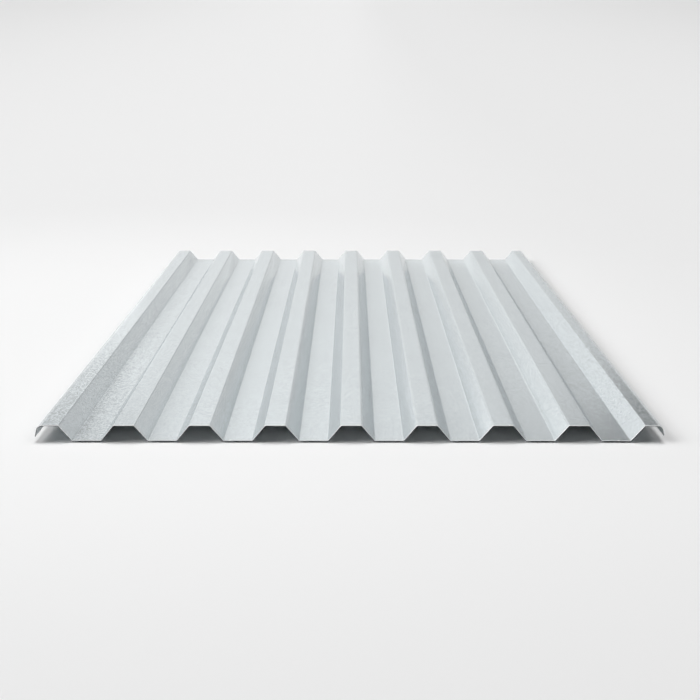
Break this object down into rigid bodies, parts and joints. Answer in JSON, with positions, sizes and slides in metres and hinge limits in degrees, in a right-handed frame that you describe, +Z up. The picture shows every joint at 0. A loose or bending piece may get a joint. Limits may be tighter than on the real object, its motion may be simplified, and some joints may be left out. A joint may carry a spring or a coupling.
{
  "type": "corrugated metal sheet",
  "caption": "Galvanised steel sheet with flat-topped trapezoidal ribs along its length and a rounded lap lip on each side, for roofs, walls and fences.",
  "frame": {"origin": "middle of the footprint, on the underside of the valleys", "axes": "+Y along the ribs, +X across the sheet from the overlap edge to the underlap edge, +Z up"},
  "size_m": [1.047, 1.5, 0.028],
  "materials": {
    "galvanised_steel": "hot-dip zinc coat, satin bright, with a fine spangle"
  },
  "bodies": {
    "root": {"sheet": "galvanised_steel"}
  },
  "joints": []
}
